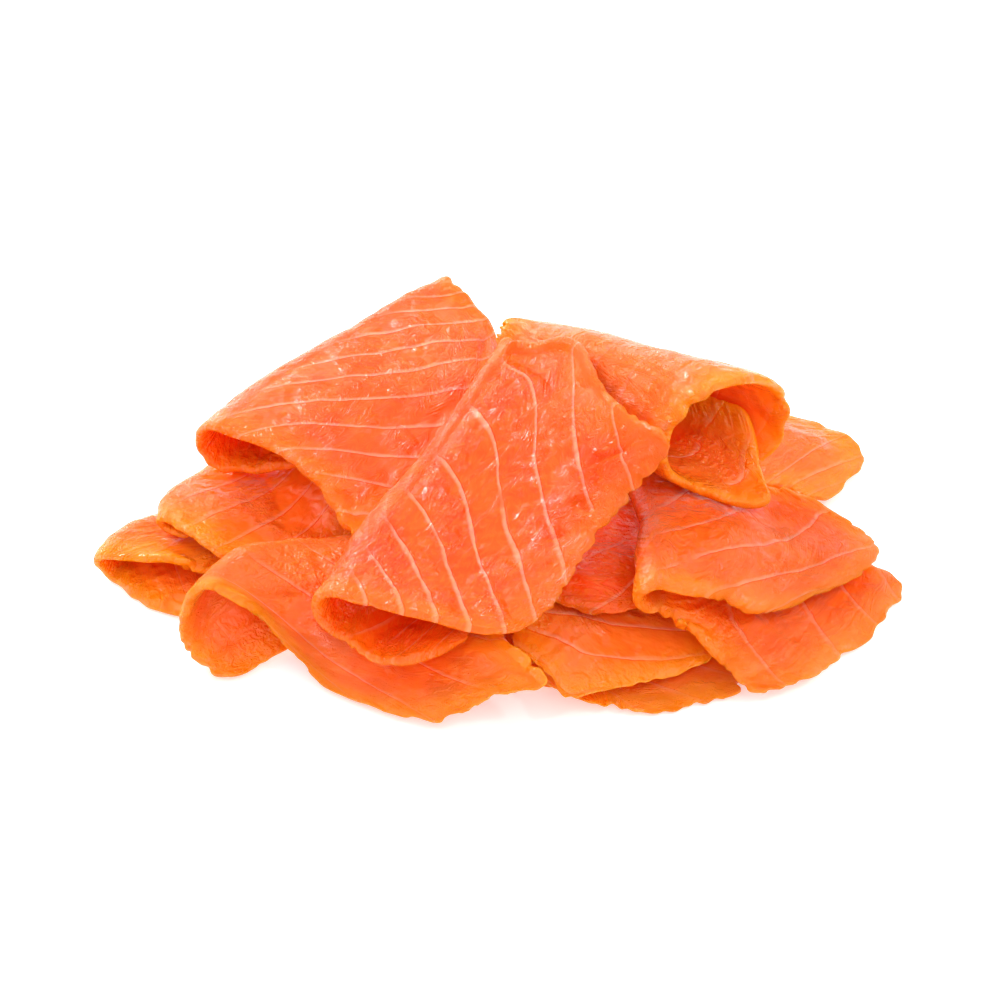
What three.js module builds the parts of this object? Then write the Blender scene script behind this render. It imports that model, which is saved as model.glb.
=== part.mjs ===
// A heap of smoked salmon slices: thirteen thin, limp slices laid on a flat surface one after another.
// Twelve are folded in half with a soft round fold, and one is rolled into an open tube.
// Millimetres, +Z up. The origin is at the middle of the heap's underside.
import * as THREE from "three";

// ---- Driving dimensions -------------------------------------------------------------------------

const THICKNESS = 2.6; // of a slice
const EDGE_THICKNESS = 1.2; // of its cut rim
const CLEARANCE = 0.6; // kept between slices that lie on each other
const HANG_SLOPE = 0.8; // how steeply a slice falls off an edge below it, millimetres per millimetre
const FLESH = { color: 0xf4703a, roughness: 0.35, metalness: 0 };

// The height map holds how high the heap has grown so far, on a square grid.
const MAP = { x: -116, y: -76, cell: 2, columns: 117, rows: 83 };
const SPREAD_CELLS = 2; // a slice bridges this many cells beside an edge below it
const HANG_CELLS = 14; // how far an edge below can still hold a slice up
const STAMP_STEPS = 4; // finer steps used when a slice is printed into the map

// Each layer of a slice is a table of heights with this many steps each way.
const TABLE = 12;
const STIFF_ROUNDS = 24; // rounds of levelling, as a limp slice still spans small hollows
const LAYER_STEPS = 48; // steps each way when a lower layer is printed into the map

// Steps of the faceted solids.
const STEPS = { lower: 5, turn: 6, upper: 9, length: 9 };
const ROLL_STEPS = { round: 30, length: 8 };

// Steps of the sheets that are printed into the height map.
const STAMP = { lower: 10, turn: 8, upper: 16, round: 36, length: 18 };

// Every folded slice is given in plan, from its near end to its far end.
//   fold    the outside of the fold            loop    how high the fold stands
//   upper   free edge of the upper layer       lower   free edge of the lower layer
//   nearUpper, nearLower, farUpper, farLower: how far each end runs out, from the fold to the free edge
//   spring  how long the upper layer stays up  seat    lowest place of the lower layer
//   tip     a corner of the upper free edge: [where, how far out, how wide]
// They are in the order in which they are laid.
const SLICES = [
  {
    name: "slice_bottom",
    fold: [[-20, -30], [-4, -27], [10, -32]],
    loop: [5.6, 5.6, 5.6],
    lower: [[-16, -46], [5, -49.5], [16, -47]],
    upper: [[-14, -42], [2, -46], [13, -43]],
  },
  {
    name: "slice_back",
    fold: [[-56, 30], [-20, 52], [14, 50]],
    loop: [8, 9, 8],
    lower: [[-44, 6], [-10, 20], [12, 24]],
    upper: [[-42, 8], [-10, 22], [12, 26]],
  },
  {
    name: "slice_far_left",
    fold: [[-97.5, -12], [-89.5, 1.5], [-66, 10]],
    loop: [11, 9, 6],
    lower: [[-62, -31], [-62, -14], [-58, 2]],
    upper: [[-56, -17], [-52, -6], [-50, 6]],
    nearLower: [0, 3, 2, 0],
    nearUpper: [0, 0, 1, 0],
  },
  {
    name: "slice_back_right",
    fold: [[56, 18], [58, 25], [55, 34]],
    loop: [5.6, 5.6, 5.6],
    lower: [[74, 10], [76, 24], [70, 34]],
    upper: [[81.5, 9.5], [91.5, 33], [77.5, 47.5]],
    farUpper: [0, 2, 3, 0],
  },
  {
    name: "slice_front_right",
    fold: [[6, -24], [30, -18], [54, -22]],
    loop: [5.6, 5.6, 5.6],
    lower: [[10, -54.5], [31.5, -57.5], [56, -51.5]],
    upper: [[1, -45.5], [19.5, -56.5], [48.5, -46]],
    tip: [0.42, 4, 0.09],
  },
  {
    name: "slice_back_upper",
    fold: [[-44, 28], [-18, 47], [7, 46]],
    loop: [8, 9, 8],
    lower: [[-38, 12], [-12, 24], [4, 28]],
    upper: [[-34, 6], [-8, 12], [6, 20]],
  },
  {
    name: "slice_left",
    fold: [[-82.5, -7], [-80.5, 3], [-73, 14.5]],
    loop: [6, 6, 6],
    lower: [[-74, -12], [-70, -2], [-64, 6]],
    upper: [[-44, -20], [-38, -4], [-36, 12]],
    nearUpper: [0, 5, 3, 0],
    rounds: 8,
  },
  {
    name: "slice_front_left",
    fold: [[-77.5, -37], [-68.5, -27.5], [-49.5, -15.5], [-31.5, -10]],
    loop: [18, 12, 7, 6],
    lower: [[-59.5, -46.5], [-46, -36], [-32, -30]],
    upper: [[-40, -51], [-15.5, -61.5], [9, -61]],
    nearLower: [0, 1, 2, 0],
    nearUpper: [-9, -9, -6, 0],
    spring: [1.3, 1.4],
  },
  {
    name: "slice_middle_right",
    fold: [[12, 10], [26, 15], [40, 12]],
    loop: [7, 6, 5.6],
    lower: [[14, -2], [26, 5], [38, 2]],
    upper: [[8, -34], [27, -37], [46, -24]],
  },
  {
    name: "slice_right",
    fold: [[30, -39], [31.5, -22], [33, -6], [29, 13]],
    loop: [11, 9, 6.5, 5.6],
    lower: [[60, -57.5], [84.5, -37], [98.5, -19]],
    upper: [[69.5, -31], [91, -10.5], [81, 4.5]],
    nearLower: [0, -3, -1, 0],
    nearUpper: [0, 3, 4, 0],
    farLower: [0, 5, 7, 4],
    farUpper: [0, 6, 6, 0],
  },
  {
    name: "slice_back_left",
    fold: [[-74, 12], [-58, 35.5], [-31.5, 60], [-14, 71]],
    loop: [16, 13, 11, 8],
    lower: [[-46, 6], [-34, 22], [-8, 36]],
    upper: [[-34.5, -19.5], [-14, 4], [-2, 28], [-0.5, 53.5]],
    nearUpper: [0, -5, -6, 0],
    spring: [1.2, 1.6],
    seat: [8, 14, 20, 24],
  },
  {
    // The rolled slice: its axis in plan with its height and radius, and the angles between which the
    // slice winds, 0 at the top and growing towards the front. The mouth is cut slantwise: the back
    // runs on past the front, and the bottom ends in a tongue.
    name: "slice_rolled",
    axis: [[3.5, 45], [29.5, 25], [54, 5.5]],
    height: [28, 28.5, 30],
    radius: [6, 10.5, 13, 15.3, 17.5],
    winds: [-150, 268],
    slant: 7,
    tongue: { at: 178, out: 12, wide: 35 },
  },
  {
    name: "slice_top",
    fold: [[-43, -42], [-28, -14], [-1.5, 29]],
    loop: [17, 12, 8],
    lower: [[-6, -49.5], [-2, -20], [10, 12]],
    upper: [[1.5, -52], [13, -38.5], [25.5, -21.5], [39.5, -13]],
    nearLower: [0, 7, 7, 0],
    nearUpper: [0, 0, 1, 0],
    farUpper: [0, 10, 4, 0.5, 0],
    spring: [1.2, 1.5],
  },
];
const SPRING = [1.6, 1.6]; // where a slice states none
const FALL = 1.6; // how late the upper layer comes down to what it lies on
const FOLD_SINK = 0.2; // share of its loop by which a fold may sink into a hollow below it
const NEXT = 0.02; // step along a fold between two places that give its direction
const FOLD_END = 0.15; // share of a fold at each end that gives the way out of its mouths

// ---- Smooth values ------------------------------------------------------------------------------

const steps = (count) => Array.from({ length: count + 1 }, (_, i) => i / count);
const clamp = (value, low, high) => Math.min(Math.max(value, low), high);

// A smooth value through evenly spaced ones, numbers or points, at t from 0 to 1.
function along(values, t) {
  if (Array.isArray(values[0])) return values[0].map((_, axis) => along(values.map((v) => v[axis]), t));
  const last = values.length - 1;
  const place = clamp(t * last, 0, last - 1e-9);
  const i = Math.floor(place);
  const f = place - i;
  const [b, c] = [values[i], values[i + 1]];
  const a = i > 0 ? values[i - 1] : 2 * b - c;
  const d = i + 2 <= last ? values[i + 2] : 2 * c - b;
  const [square, cube] = [2 * a - 5 * b + 4 * c - d, 3 * b - a - 3 * c + d];
  return 0.5 * (2 * b + (c - a) * f + square * f ** 2 + cube * f ** 3);
}

// The same over a table of heights, at row q and column v.
const overTable = (table, q, v) => along(table.map((row) => along(row, v)), q);

function direction(from, to) {
  const [x, y] = [to[0] - from[0], to[1] - from[1]];
  const length = Math.hypot(x, y);
  return [x / length, y / length];
}

// ---- The height map -----------------------------------------------------------------------------

const emptyMap = () => new Float64Array(MAP.columns * MAP.rows);

function raiseMap(map, points) {
  for (const [x, y, z] of points) {
    const i = Math.round((x - MAP.x) / MAP.cell);
    const j = Math.round((y - MAP.y) / MAP.cell);
    if (i <= 0 || j <= 0 || i >= MAP.columns - 1 || j >= MAP.rows - 1) continue;
    const at = i * MAP.rows + j;
    map[at] = Math.max(map[at], z);
  }
}

// A new map in which each inner cell is worked out from its 3 by 3 neighbourhood.
function mapped(map, combine) {
  const out = map.slice();
  for (let i = 1; i < MAP.columns - 1; i++) {
    for (let j = 1; j < MAP.rows - 1; j++) {
      let value;
      for (let a = -1; a <= 1; a++) {
        for (let b = -1; b <= 1; b++) value = combine(value, map[(i + a) * MAP.rows + j + b], Math.hypot(a, b));
      }
      out[i * MAP.rows + j] = value;
    }
  }
  return out;
}

// The surface that the next layer lies on: it bridges the edges below and hangs off them.
function restingSurface(map) {
  const highest = (so, z) => Math.max(so ?? 0, z);
  const hung = (so, z, cells) => Math.max(so ?? 0, z - cells * HANG_SLOPE * MAP.cell);
  const mean = (so, z) => (so ?? 0) + z / 9;
  let surface = map;
  for (let i = 0; i < SPREAD_CELLS; i++) surface = mapped(surface, highest);
  for (let i = 0; i < HANG_CELLS; i++) surface = mapped(surface, hung);
  return mapped(surface, mean);
}

// Cubic B-spline weights and their slopes at t from 0 to 1 between two cells.
const weights = (t) => [
  (1 - t) ** 3 / 6,
  (3 * t ** 3 - 6 * t ** 2 + 4) / 6,
  (-3 * t ** 3 + 3 * t ** 2 + 3 * t + 1) / 6,
  t ** 3 / 6,
];
const weightSlopes = (t) => [
  -((1 - t) ** 2) / 2,
  (9 * t ** 2 - 12 * t) / 6,
  (-9 * t ** 2 + 6 * t + 3) / 6,
  t ** 2 / 2,
];

// Height of the middle of a slice that lies at a point of a resting surface.
function lyingHeight(surface, [x, y]) {
  const gx = clamp((x - MAP.x) / MAP.cell, 1.001, MAP.columns - 3.001);
  const gy = clamp((y - MAP.y) / MAP.cell, 1.001, MAP.rows - 3.001);
  const [i, j] = [Math.floor(gx), Math.floor(gy)];
  const [wx, wy, sx, sy] = [weights(gx - i), weights(gy - j), weightSlopes(gx - i), weightSlopes(gy - j)];
  let [z, zx, zy] = [0, 0, 0];
  for (let a = 0; a < 4; a++) {
    for (let b = 0; b < 4; b++) {
      const height = surface[(i + a - 1) * MAP.rows + j + b - 1];
      z += wx[a] * wy[b] * height;
      zx += (sx[a] * wy[b] * height) / MAP.cell;
      zy += (wx[a] * sy[b] * height) / MAP.cell;
    }
  }
  return z + CLEARANCE + (THICKNESS / 2) * Math.hypot(1, zx, zy);
}

// ---- Sheets: rows of points on the middle of a slice ---------------------------------------------

const lerp = (p, q, t) => p.map((value, axis) => value + (q[axis] - value) * t);

// The same sheet with more, straight steps between its rows and columns.
function finer(sheet, times) {
  const between = (list, mix) =>
    list.slice(1).reduce(
      (out, item, i) => {
        for (let k = 1; k <= times; k++) out.push(mix(list[i], item, k / times));
        return out;
      },
      [list[0]],
    );
  const rows = sheet.map((row) => between(row, lerp));
  return between(rows, (one, other, t) => one.map((point, j) => lerp(point, other[j], t)));
}

function sheetNormals(sheet) {
  const [rows, columns] = [sheet.length, sheet[0].length];
  const at = (i, j) => new THREE.Vector3(...sheet[clamp(i, 0, rows - 1)][clamp(j, 0, columns - 1)]);
  return sheet.map((row, i) =>
    row.map((_, j) => {
      const across = at(i + 1, j).sub(at(i - 1, j));
      const lengthwise = at(i, j + 1).sub(at(i, j - 1));
      return across.cross(lengthwise).normalize();
    }),
  );
}

function stampSheet(map, sheet) {
  const normals = sheetNormals(sheet);
  for (const side of [1, -1]) {
    const onFace = (point, normal) => point.map((value, axis) => value + (side * THICKNESS * normal[axis]) / 2);
    raiseMap(map, sheet.flatMap((row, i) => row.map((point, j) => onFace(point, normals[i][j].toArray()))));
  }
}

// ---- Folded slices ------------------------------------------------------------------------------

// Levels a table of heights while it stays on or above what it touches.
function levelled(touching, start, rounds) {
  const value = (table, i, j) => table[clamp(i, 0, TABLE)][clamp(j, 0, TABLE)];
  let table = start;
  for (let round = 0; round < rounds; round++) {
    const before = table;
    table = before.map((row, i) =>
      row.map((z, j) => {
        const across = value(before, i - 1, j) + value(before, i + 1, j);
        const lengthwise = value(before, i, j - 1) + value(before, i, j + 1);
        return Math.max(touching[i][j], (across + lengthwise + 4 * z) / 8);
      }),
    );
  }
  return table;
}

// Lays a folded slice on the heap and gives back a function that makes its sheet with the asked steps.
function layFolded(slice, map) {
  const rounds = slice.rounds ?? STIFF_ROUNDS;
  const nearWay = direction(along(slice.fold, FOLD_END), along(slice.fold, 0));
  const farWay = direction(along(slice.fold, 1 - FOLD_END), along(slice.fold, 1));

  // The inward way across the fold, and the line where the two layers leave it.
  const across = (v) => {
    const [before, after] = [clamp(v - NEXT, 0, 1), clamp(v + NEXT, 0, 1)];
    const [x, y] = direction(along(slice.fold, before), along(slice.fold, after));
    return [-y, x];
  };
  const toEdge = direction(along(slice.fold, 0.5), along(slice.upper, 0.5));
  const side = Math.sign(across(0.5)[0] * toEdge[0] + across(0.5)[1] * toEdge[1]);
  const root = (v) => {
    const reach = (side * along(slice.loop, v)) / 2;
    return along(slice.fold, v).map((value, axis) => value + across(v)[axis] * reach);
  };

  const inPlan = (edge, near, far, q, v) => {
    const from = root(v);
    const to = along(edge, v);
    const nearOut = along(near ?? [0, 0], q) * (1 - v) ** 2;
    const farOut = along(far ?? [0, 0], q) * v ** 2;
    const out = (axis) => nearOut * nearWay[axis] + farOut * farWay[axis];
    return from.map((value, axis) => value + (to[axis] - value) * q + out(axis));
  };
  const lowerPlan = (q, v) => inPlan(slice.lower, slice.nearLower, slice.farLower, q, v);
  const upperPlan = (q, v) => {
    const point = inPlan(slice.upper, slice.nearUpper, slice.farUpper, q, v);
    if (!slice.tip) return point;
    const [where, out, wide] = slice.tip;
    const outward = direction(root(v), along(slice.upper, v));
    const pull = q ** 3 * out * Math.exp(-(((v - where) / wide) ** 2));
    return point.map((value, axis) => value + pull * outward[axis]);
  };
  const table = (height) => steps(TABLE).map((q) => steps(TABLE).map((v) => height(q, v)));

  // The lower layer lies on the heap, under the fold too.
  const ground = restingSurface(map);
  const belowLower = table((q, v) => {
    const seat = along(slice.seat ?? [0, 0], v);
    const onHeap = Math.max(seat, lyingHeight(ground, lowerPlan(q, v)));
    if (q > 0) return onHeap;
    return Math.max(onHeap, lyingHeight(ground, along(slice.fold, v)) - FOLD_SINK * along(slice.loop, v));
  });
  const low = levelled(belowLower, belowLower, rounds);
  const lowerPoint = (q, v) => [...lowerPlan(q, v), overTable(low, q, v)];

  // The upper layer lies on the heap and the lower layer, and comes down to them from the fold.
  const withLower = map.slice();
  const lowerSheet = steps(LAYER_STEPS).map((q) => steps(LAYER_STEPS).map((v) => lowerPoint(q, v)));
  stampSheet(withLower, lowerSheet);
  raiseMap(withLower, lowerSheet.flat());
  const bed = restingSurface(withLower);
  const belowUpper = table((q, v) => lyingHeight(bed, upperPlan(q, v)));
  const top = belowUpper[0].map((z, j) => Math.max(z, low[0][j] + along(slice.loop, j / TABLE) - THICKNESS));
  const sprung = belowUpper.map((row, i) =>
    row.map((z, j) => {
      const stays = (1 - (i / TABLE) ** along(slice.spring ?? SPRING, j / TABLE)) ** FALL;
      return z + (top[j] - belowUpper[0][j]) * stays;
    }),
  );
  belowUpper[0] = top;
  const high = levelled(belowUpper, sprung, rounds);
  high[0] = top;
  const upperPoint = (q, v) => [...upperPlan(q, v), overTable(high, q, v)];

  // The fold is a half turn from the lower layer to the upper one.
  const turnPoint = (angle, v) => {
    const [from, to] = [lowerPoint(0, v), upperPoint(0, v)];
    const rise = (to[2] - from[2]) / 2;
    const out = side * Math.min(rise, along(slice.loop, v) / 2) * Math.cos(angle);
    const [x, y] = lerp(from, to, (1 + Math.sin(angle)) / 2);
    return [x - across(v)[0] * out, y - across(v)[1] * out, from[2] + rise * (1 + Math.sin(angle))];
  };

  return ({ lower, turn, upper, length }) => [
    ...steps(lower).reverse().map((q) => steps(length).map((v) => lowerPoint(q, v))),
    ...steps(turn).slice(1, -1).map((t) => steps(length).map((v) => turnPoint((t - 0.5) * Math.PI, v))),
    ...steps(upper).map((q) => steps(length).map((v) => upperPoint(q, v))),
  ];
}

// ---- The rolled slice ---------------------------------------------------------------------------

function rolled(slice) {
  const radians = THREE.MathUtils.degToRad;
  const [start, end] = slice.winds.map(radians);
  const way = direction(slice.axis[0], slice.axis.at(-1));
  const front = [way[1], -way[0]];
  const tongue = (angle) =>
    slice.tongue.out * Math.exp(-(((angle - radians(slice.tongue.at)) / radians(slice.tongue.wide)) ** 2));
  const point = (t, v) => {
    const angle = start + (end - start) * t;
    const radius = along(slice.radius, v) - ((THICKNESS + CLEARANCE) * (angle - start)) / (2 * Math.PI);
    const out = (tongue(angle) - slice.slant * Math.sin(angle)) * v ** 2;
    const forward = radius * Math.sin(angle);
    const [x, y] = along(slice.axis, v).map((value, axis) => value + front[axis] * forward + way[axis] * out);
    return [x, y, along(slice.height, v) + radius * Math.cos(angle)];
  };
  return ({ round, length }) => steps(round).map((t) => steps(length).map((v) => point(t, v)));
}

// ---- Solids -------------------------------------------------------------------------------------

// A closed thin solid round a sheet, thinner at its cut rim. Both faces are split alike.
function solid(sheet) {
  const [rows, columns] = [sheet.length, sheet[0].length];
  const normals = sheetNormals(sheet);
  const positions = [];
  for (const side of [1, -1]) {
    for (let i = 0; i < rows; i++) {
      for (let j = 0; j < columns; j++) {
        const rim = i === 0 || j === 0 || i === rows - 1 || j === columns - 1;
        const half = (side * (rim ? EDGE_THICKNESS : THICKNESS)) / 2;
        const normal = normals[i][j].toArray();
        positions.push(...sheet[i][j].map((value, axis) => value + normal[axis] * half));
      }
    }
  }
  const under = rows * columns;
  const index = [];
  for (let i = 0; i < rows - 1; i++) {
    for (let j = 0; j < columns - 1; j++) {
      const [p, q, r, s] = [i * columns + j, (i + 1) * columns + j, (i + 1) * columns + j + 1, i * columns + j + 1];
      index.push(p, q, r, p, r, s);
      index.push(p + under, r + under, q + under, p + under, s + under, r + under);
    }
  }
  const loop = [];
  for (let i = 0; i < rows - 1; i++) loop.push(i * columns);
  for (let j = 0; j < columns - 1; j++) loop.push((rows - 1) * columns + j);
  for (let i = rows - 1; i > 0; i--) loop.push(i * columns + columns - 1);
  for (let j = columns - 1; j > 0; j--) loop.push(j);
  loop.forEach((p, k) => {
    const q = loop[(k + 1) % loop.length];
    index.push(q, p, p + under, q, p + under, q + under);
  });
  const geometry = new THREE.BufferGeometry();
  geometry.setAttribute("position", new THREE.Float32BufferAttribute(positions, 3));
  geometry.setIndex(volume(positions, index) < 0 ? index.reverse() : index);
  geometry.computeVertexNormals();
  return geometry;
}

function volume(positions, index) {
  const corner = (k) => new THREE.Vector3().fromArray(positions, 3 * index[k]);
  let sum = 0;
  for (let k = 0; k < index.length; k += 3) sum += corner(k).dot(corner(k + 1).cross(corner(k + 2))) / 6;
  return sum;
}

// ---- The heap -----------------------------------------------------------------------------------

const heap = new THREE.Group();
const grown = emptyMap();
for (const slice of SLICES) {
  const sheetOf = slice.axis ? rolled(slice) : layFolded(slice, grown);
  stampSheet(grown, finer(sheetOf(STAMP), STAMP_STEPS));
  const mesh = new THREE.Mesh(
    solid(sheetOf(slice.axis ? ROLL_STEPS : STEPS)),
    new THREE.MeshStandardMaterial({ ...FLESH, name: "flesh" }),
  );
  mesh.name = slice.name;
  heap.add(mesh);
}

// The origin goes to the middle of the underside.
const box = new THREE.Box3().setFromObject(heap);
const middle = box.getCenter(new THREE.Vector3());
for (const mesh of heap.children) mesh.geometry.translate(-middle.x, -middle.y, -box.min.z);

export default heap;
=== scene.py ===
# %% [markdown]
# # A heap of smoked salmon slices
#
# Thin slices of smoked salmon are limp, moist and a little see-through. Laid down loosely they fold over,
# drape over each other and hold up in soft round folds. This lesson lays thirteen of them one after another,
# gives each one its ragged cut edge and its pale fat lines, and lights them softly.
#
# We start with the fixed frame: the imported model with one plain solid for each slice. The box round these
# solids is kept, because the finished heap has to fit into it.

# %% Load the frame
import math
from collections import namedtuple

import bpy
import numpy as np
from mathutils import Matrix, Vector


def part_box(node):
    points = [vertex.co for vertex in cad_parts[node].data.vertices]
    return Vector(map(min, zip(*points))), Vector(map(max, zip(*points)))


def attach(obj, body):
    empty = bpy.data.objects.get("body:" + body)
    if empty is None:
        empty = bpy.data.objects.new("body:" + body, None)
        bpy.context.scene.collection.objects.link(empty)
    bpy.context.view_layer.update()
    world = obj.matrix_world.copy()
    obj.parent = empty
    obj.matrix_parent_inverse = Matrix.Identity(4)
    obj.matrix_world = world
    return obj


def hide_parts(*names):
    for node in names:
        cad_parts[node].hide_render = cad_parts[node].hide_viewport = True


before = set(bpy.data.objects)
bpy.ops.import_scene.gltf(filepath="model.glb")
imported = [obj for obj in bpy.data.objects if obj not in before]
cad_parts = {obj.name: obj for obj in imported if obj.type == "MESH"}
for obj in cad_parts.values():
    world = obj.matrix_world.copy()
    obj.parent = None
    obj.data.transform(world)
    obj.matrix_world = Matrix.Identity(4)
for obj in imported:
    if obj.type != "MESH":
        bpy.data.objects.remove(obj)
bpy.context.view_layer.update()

print("solids in the frame:", len(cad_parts))

# %% [markdown]
# ## The slices in plan
#
# A folded slice is easiest to give as a cook would lay it: where its fold runs, how high the fold stands, and
# where the free edges of its upper and lower layers end. All of it is in plan, in millimetres, from the near
# end to the far end. The heights aren't given. They follow from what lies below, so a slice can be moved and
# still lies on its neighbours. The list is in the order in which the slices are laid.
#
# * `fold`, `loop`: the outside of the fold, and how high it stands
# * `upper`, `lower`: the free edges of the two layers
# * `near_upper`, `near_lower`, `far_upper`, `far_lower`: how far the ends run out between fold and edge
# * `spring`: how long the upper layer stays up, `seat`: the lowest place of the lower layer
# * `rounds`: how stiff the slice is, `tip`: a corner of the upper edge as place, reach and width
#
# One slice is rolled up instead. It has the axis of its roll in plan, the height and radius along it, and
# the angles in degrees between which it winds, 0 at the top and growing towards the front.

# %% The slices, in the order in which they are laid
SLICES = {
    "slice_bottom": dict(
        fold=[(-20, -30), (-4, -27), (10, -32)],
        loop=[5.6, 5.6, 5.6],
        lower=[(-16, -46), (5, -49.5), (16, -47)],
        upper=[(-14, -42), (2, -46), (13, -43)],
    ),
    "slice_back": dict(
        fold=[(-56, 30), (-20, 52), (14, 50)],
        loop=[8, 9, 8],
        lower=[(-44, 6), (-10, 20), (12, 24)],
        upper=[(-42, 8), (-10, 22), (12, 26)],
    ),
    "slice_far_left": dict(
        fold=[(-97.5, -12), (-89.5, 1.5), (-66, 10)],
        loop=[11, 9, 6],
        lower=[(-62, -31), (-62, -14), (-58, 2)],
        upper=[(-56, -17), (-52, -6), (-50, 6)],
        near_lower=[0, 3, 2, 0],
        near_upper=[0, 0, 1, 0],
    ),
    "slice_back_right": dict(
        fold=[(56, 18), (58, 25), (55, 34)],
        loop=[5.6, 5.6, 5.6],
        lower=[(74, 10), (76, 24), (70, 34)],
        upper=[(81.5, 9.5), (91.5, 33), (77.5, 47.5)],
        far_upper=[0, 2, 3, 0],
    ),
    "slice_front_right": dict(
        fold=[(6, -24), (30, -18), (54, -22)],
        loop=[5.6, 5.6, 5.6],
        lower=[(10, -54.5), (31.5, -57.5), (56, -51.5)],
        upper=[(1, -45.5), (19.5, -56.5), (48.5, -46)],
        tip=[0.42, 4, 0.09],
    ),
    "slice_back_upper": dict(
        fold=[(-44, 28), (-18, 47), (7, 46)],
        loop=[8, 9, 8],
        lower=[(-38, 12), (-12, 24), (4, 28)],
        upper=[(-34, 6), (-8, 12), (6, 20)],
    ),
    "slice_left": dict(
        fold=[(-82.5, -7), (-80.5, 3), (-73, 14.5)],
        loop=[6, 6, 6],
        lower=[(-74, -12), (-70, -2), (-64, 6)],
        upper=[(-44, -20), (-38, -4), (-36, 12)],
        near_upper=[0, 5, 3, 0],
        rounds=8,
    ),
    "slice_front_left": dict(
        fold=[(-77.5, -37), (-68.5, -27.5), (-49.5, -15.5), (-31.5, -10)],
        loop=[18, 12, 7, 6],
        lower=[(-59.5, -46.5), (-46, -36), (-32, -30)],
        upper=[(-40, -51), (-15.5, -61.5), (9, -61)],
        near_lower=[0, 1, 2, 0],
        near_upper=[-9, -9, -6, 0],
        spring=[1.3, 1.4],
    ),
    "slice_middle_right": dict(
        fold=[(12, 10), (26, 15), (40, 12)],
        loop=[7, 6, 5.6],
        lower=[(14, -2), (26, 5), (38, 2)],
        upper=[(8, -34), (27, -37), (46, -24)],
    ),
    "slice_right": dict(
        fold=[(30, -39), (31.5, -22), (33, -6), (29, 13)],
        loop=[11, 9, 6.5, 5.6],
        lower=[(60, -57.5), (84.5, -37), (98.5, -19)],
        upper=[(69.5, -31), (91, -10.5), (81, 4.5)],
        near_lower=[0, -3, -1, 0],
        near_upper=[0, 3, 4, 0],
        far_lower=[0, 5, 7, 4],
        far_upper=[0, 6, 6, 0],
    ),
    "slice_back_left": dict(
        fold=[(-74, 12), (-58, 35.5), (-31.5, 60), (-14, 71)],
        loop=[16, 13, 11, 8],
        lower=[(-46, 6), (-34, 22), (-8, 36)],
        upper=[(-34.5, -19.5), (-14, 4), (-2, 28), (-0.5, 53.5)],
        near_upper=[0, -5, -6, 0],
        spring=[1.2, 1.6],
        seat=[8, 14, 20, 24],
    ),
    "slice_rolled": dict(
        axis=[(3.5, 45), (29.5, 25), (54, 5.5)],
        height=[28, 28.5, 30],
        radius=[6, 10.5, 13, 15.3, 17.5],
        winds=[-150, 268],
        slant=7,
        tongue=dict(at=178, out=12, wide=35),
    ),
    "slice_top": dict(
        fold=[(-43, -42), (-28, -14), (-1.5, 29)],
        loop=[17, 12, 8],
        lower=[(-6, -49.5), (-2, -20), (10, 12)],
        upper=[(1.5, -52), (13, -38.5), (25.5, -21.5), (39.5, -13)],
        near_lower=[0, 7, 7, 0],
        near_upper=[0, 0, 1, 0],
        far_upper=[0, 10, 4, 0.5, 0],
        spring=[1.2, 1.5],
    ),
}
print("slices:", len(SLICES))

# %% [markdown]
# ## Smooth values
#
# Nearly everything here is a smooth value through a few given ones: an edge, the height of a fold, the bed
# that a layer lies on. One small function does them all. It takes numbers or points, at any places from 0
# to 1, and its twin does the same over a table with rows and columns.

# %% Smooth values through given ones
def spans(count, t):
    """The first of the four values round each place, and the four weights of these values."""
    place = np.clip(np.asarray(t, float) * (count - 1), 0, count - 1 - 1e-9)
    i = np.floor(place).astype(int)
    f = place - i
    squares, cubes = f**2, f**3
    weights = (
        -f + 2 * squares - cubes,
        2 - 5 * squares + 3 * cubes,
        f + 4 * squares - 3 * cubes,
        cubes - squares,
    )
    return i, [weight / 2 for weight in weights]


def extended(values):
    """The values with one more at each end, in a straight line with the last two."""
    return np.concatenate([2 * values[:1] - values[1:2], values, 2 * values[-1:] - values[-2:-1]])


def along(values, t):
    """A smooth value through evenly spaced ones, numbers or points, at t from 0 to 1."""
    values = extended(np.asarray(values, float))
    i, weights = spans(len(values) - 2, t)
    shape = np.shape(i) + (1,) * (values.ndim - 1)
    return sum(np.reshape(weight, shape) * values[i + k] for k, weight in enumerate(weights))


def over_table(table, q, v):
    """A smooth value over a table, at row q and column v, both from 0 to 1."""
    table = extended(extended(np.asarray(table, float)).T).T
    i, row_weights = spans(table.shape[0] - 2, q)
    j, column_weights = spans(table.shape[1] - 2, v)
    return sum(
        row_weights[a] * column_weights[b] * table[i + a, j + b] for a in range(4) for b in range(4)
    )


def steps(count):
    return np.linspace(0, 1, count + 1)


def direction(start, end):
    way = np.asarray(end, float) - np.asarray(start, float)
    return way / np.linalg.norm(way, axis=-1, keepdims=True)


print("halfway between 1, 3 and 2:", along([1, 3, 2], 0.5))

# %% [markdown]
# ## The bed that a slice lies on
#
# A limp slice bridges the edges below it and hangs off them at a slope. Cloth simulation could find that
# shape, but thirteen wet layers would take long and slide about. A height map is enough: the heap so far is
# a grid of heights, each new layer rests on a softened copy of it, and is then stamped into it.

# %% The height map of the heap so far, in millimetres
MAP_X, MAP_Y, CELL = -116, -76, 2
COLUMNS, ROWS = 117, 83
SPREAD_CELLS = 2
HANG_CELLS = 14
HANG_SLOPE = 0.8
RIM_CELLS = 1.001
CLEARANCE = 0.6
THICKNESS = 2.6


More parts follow.
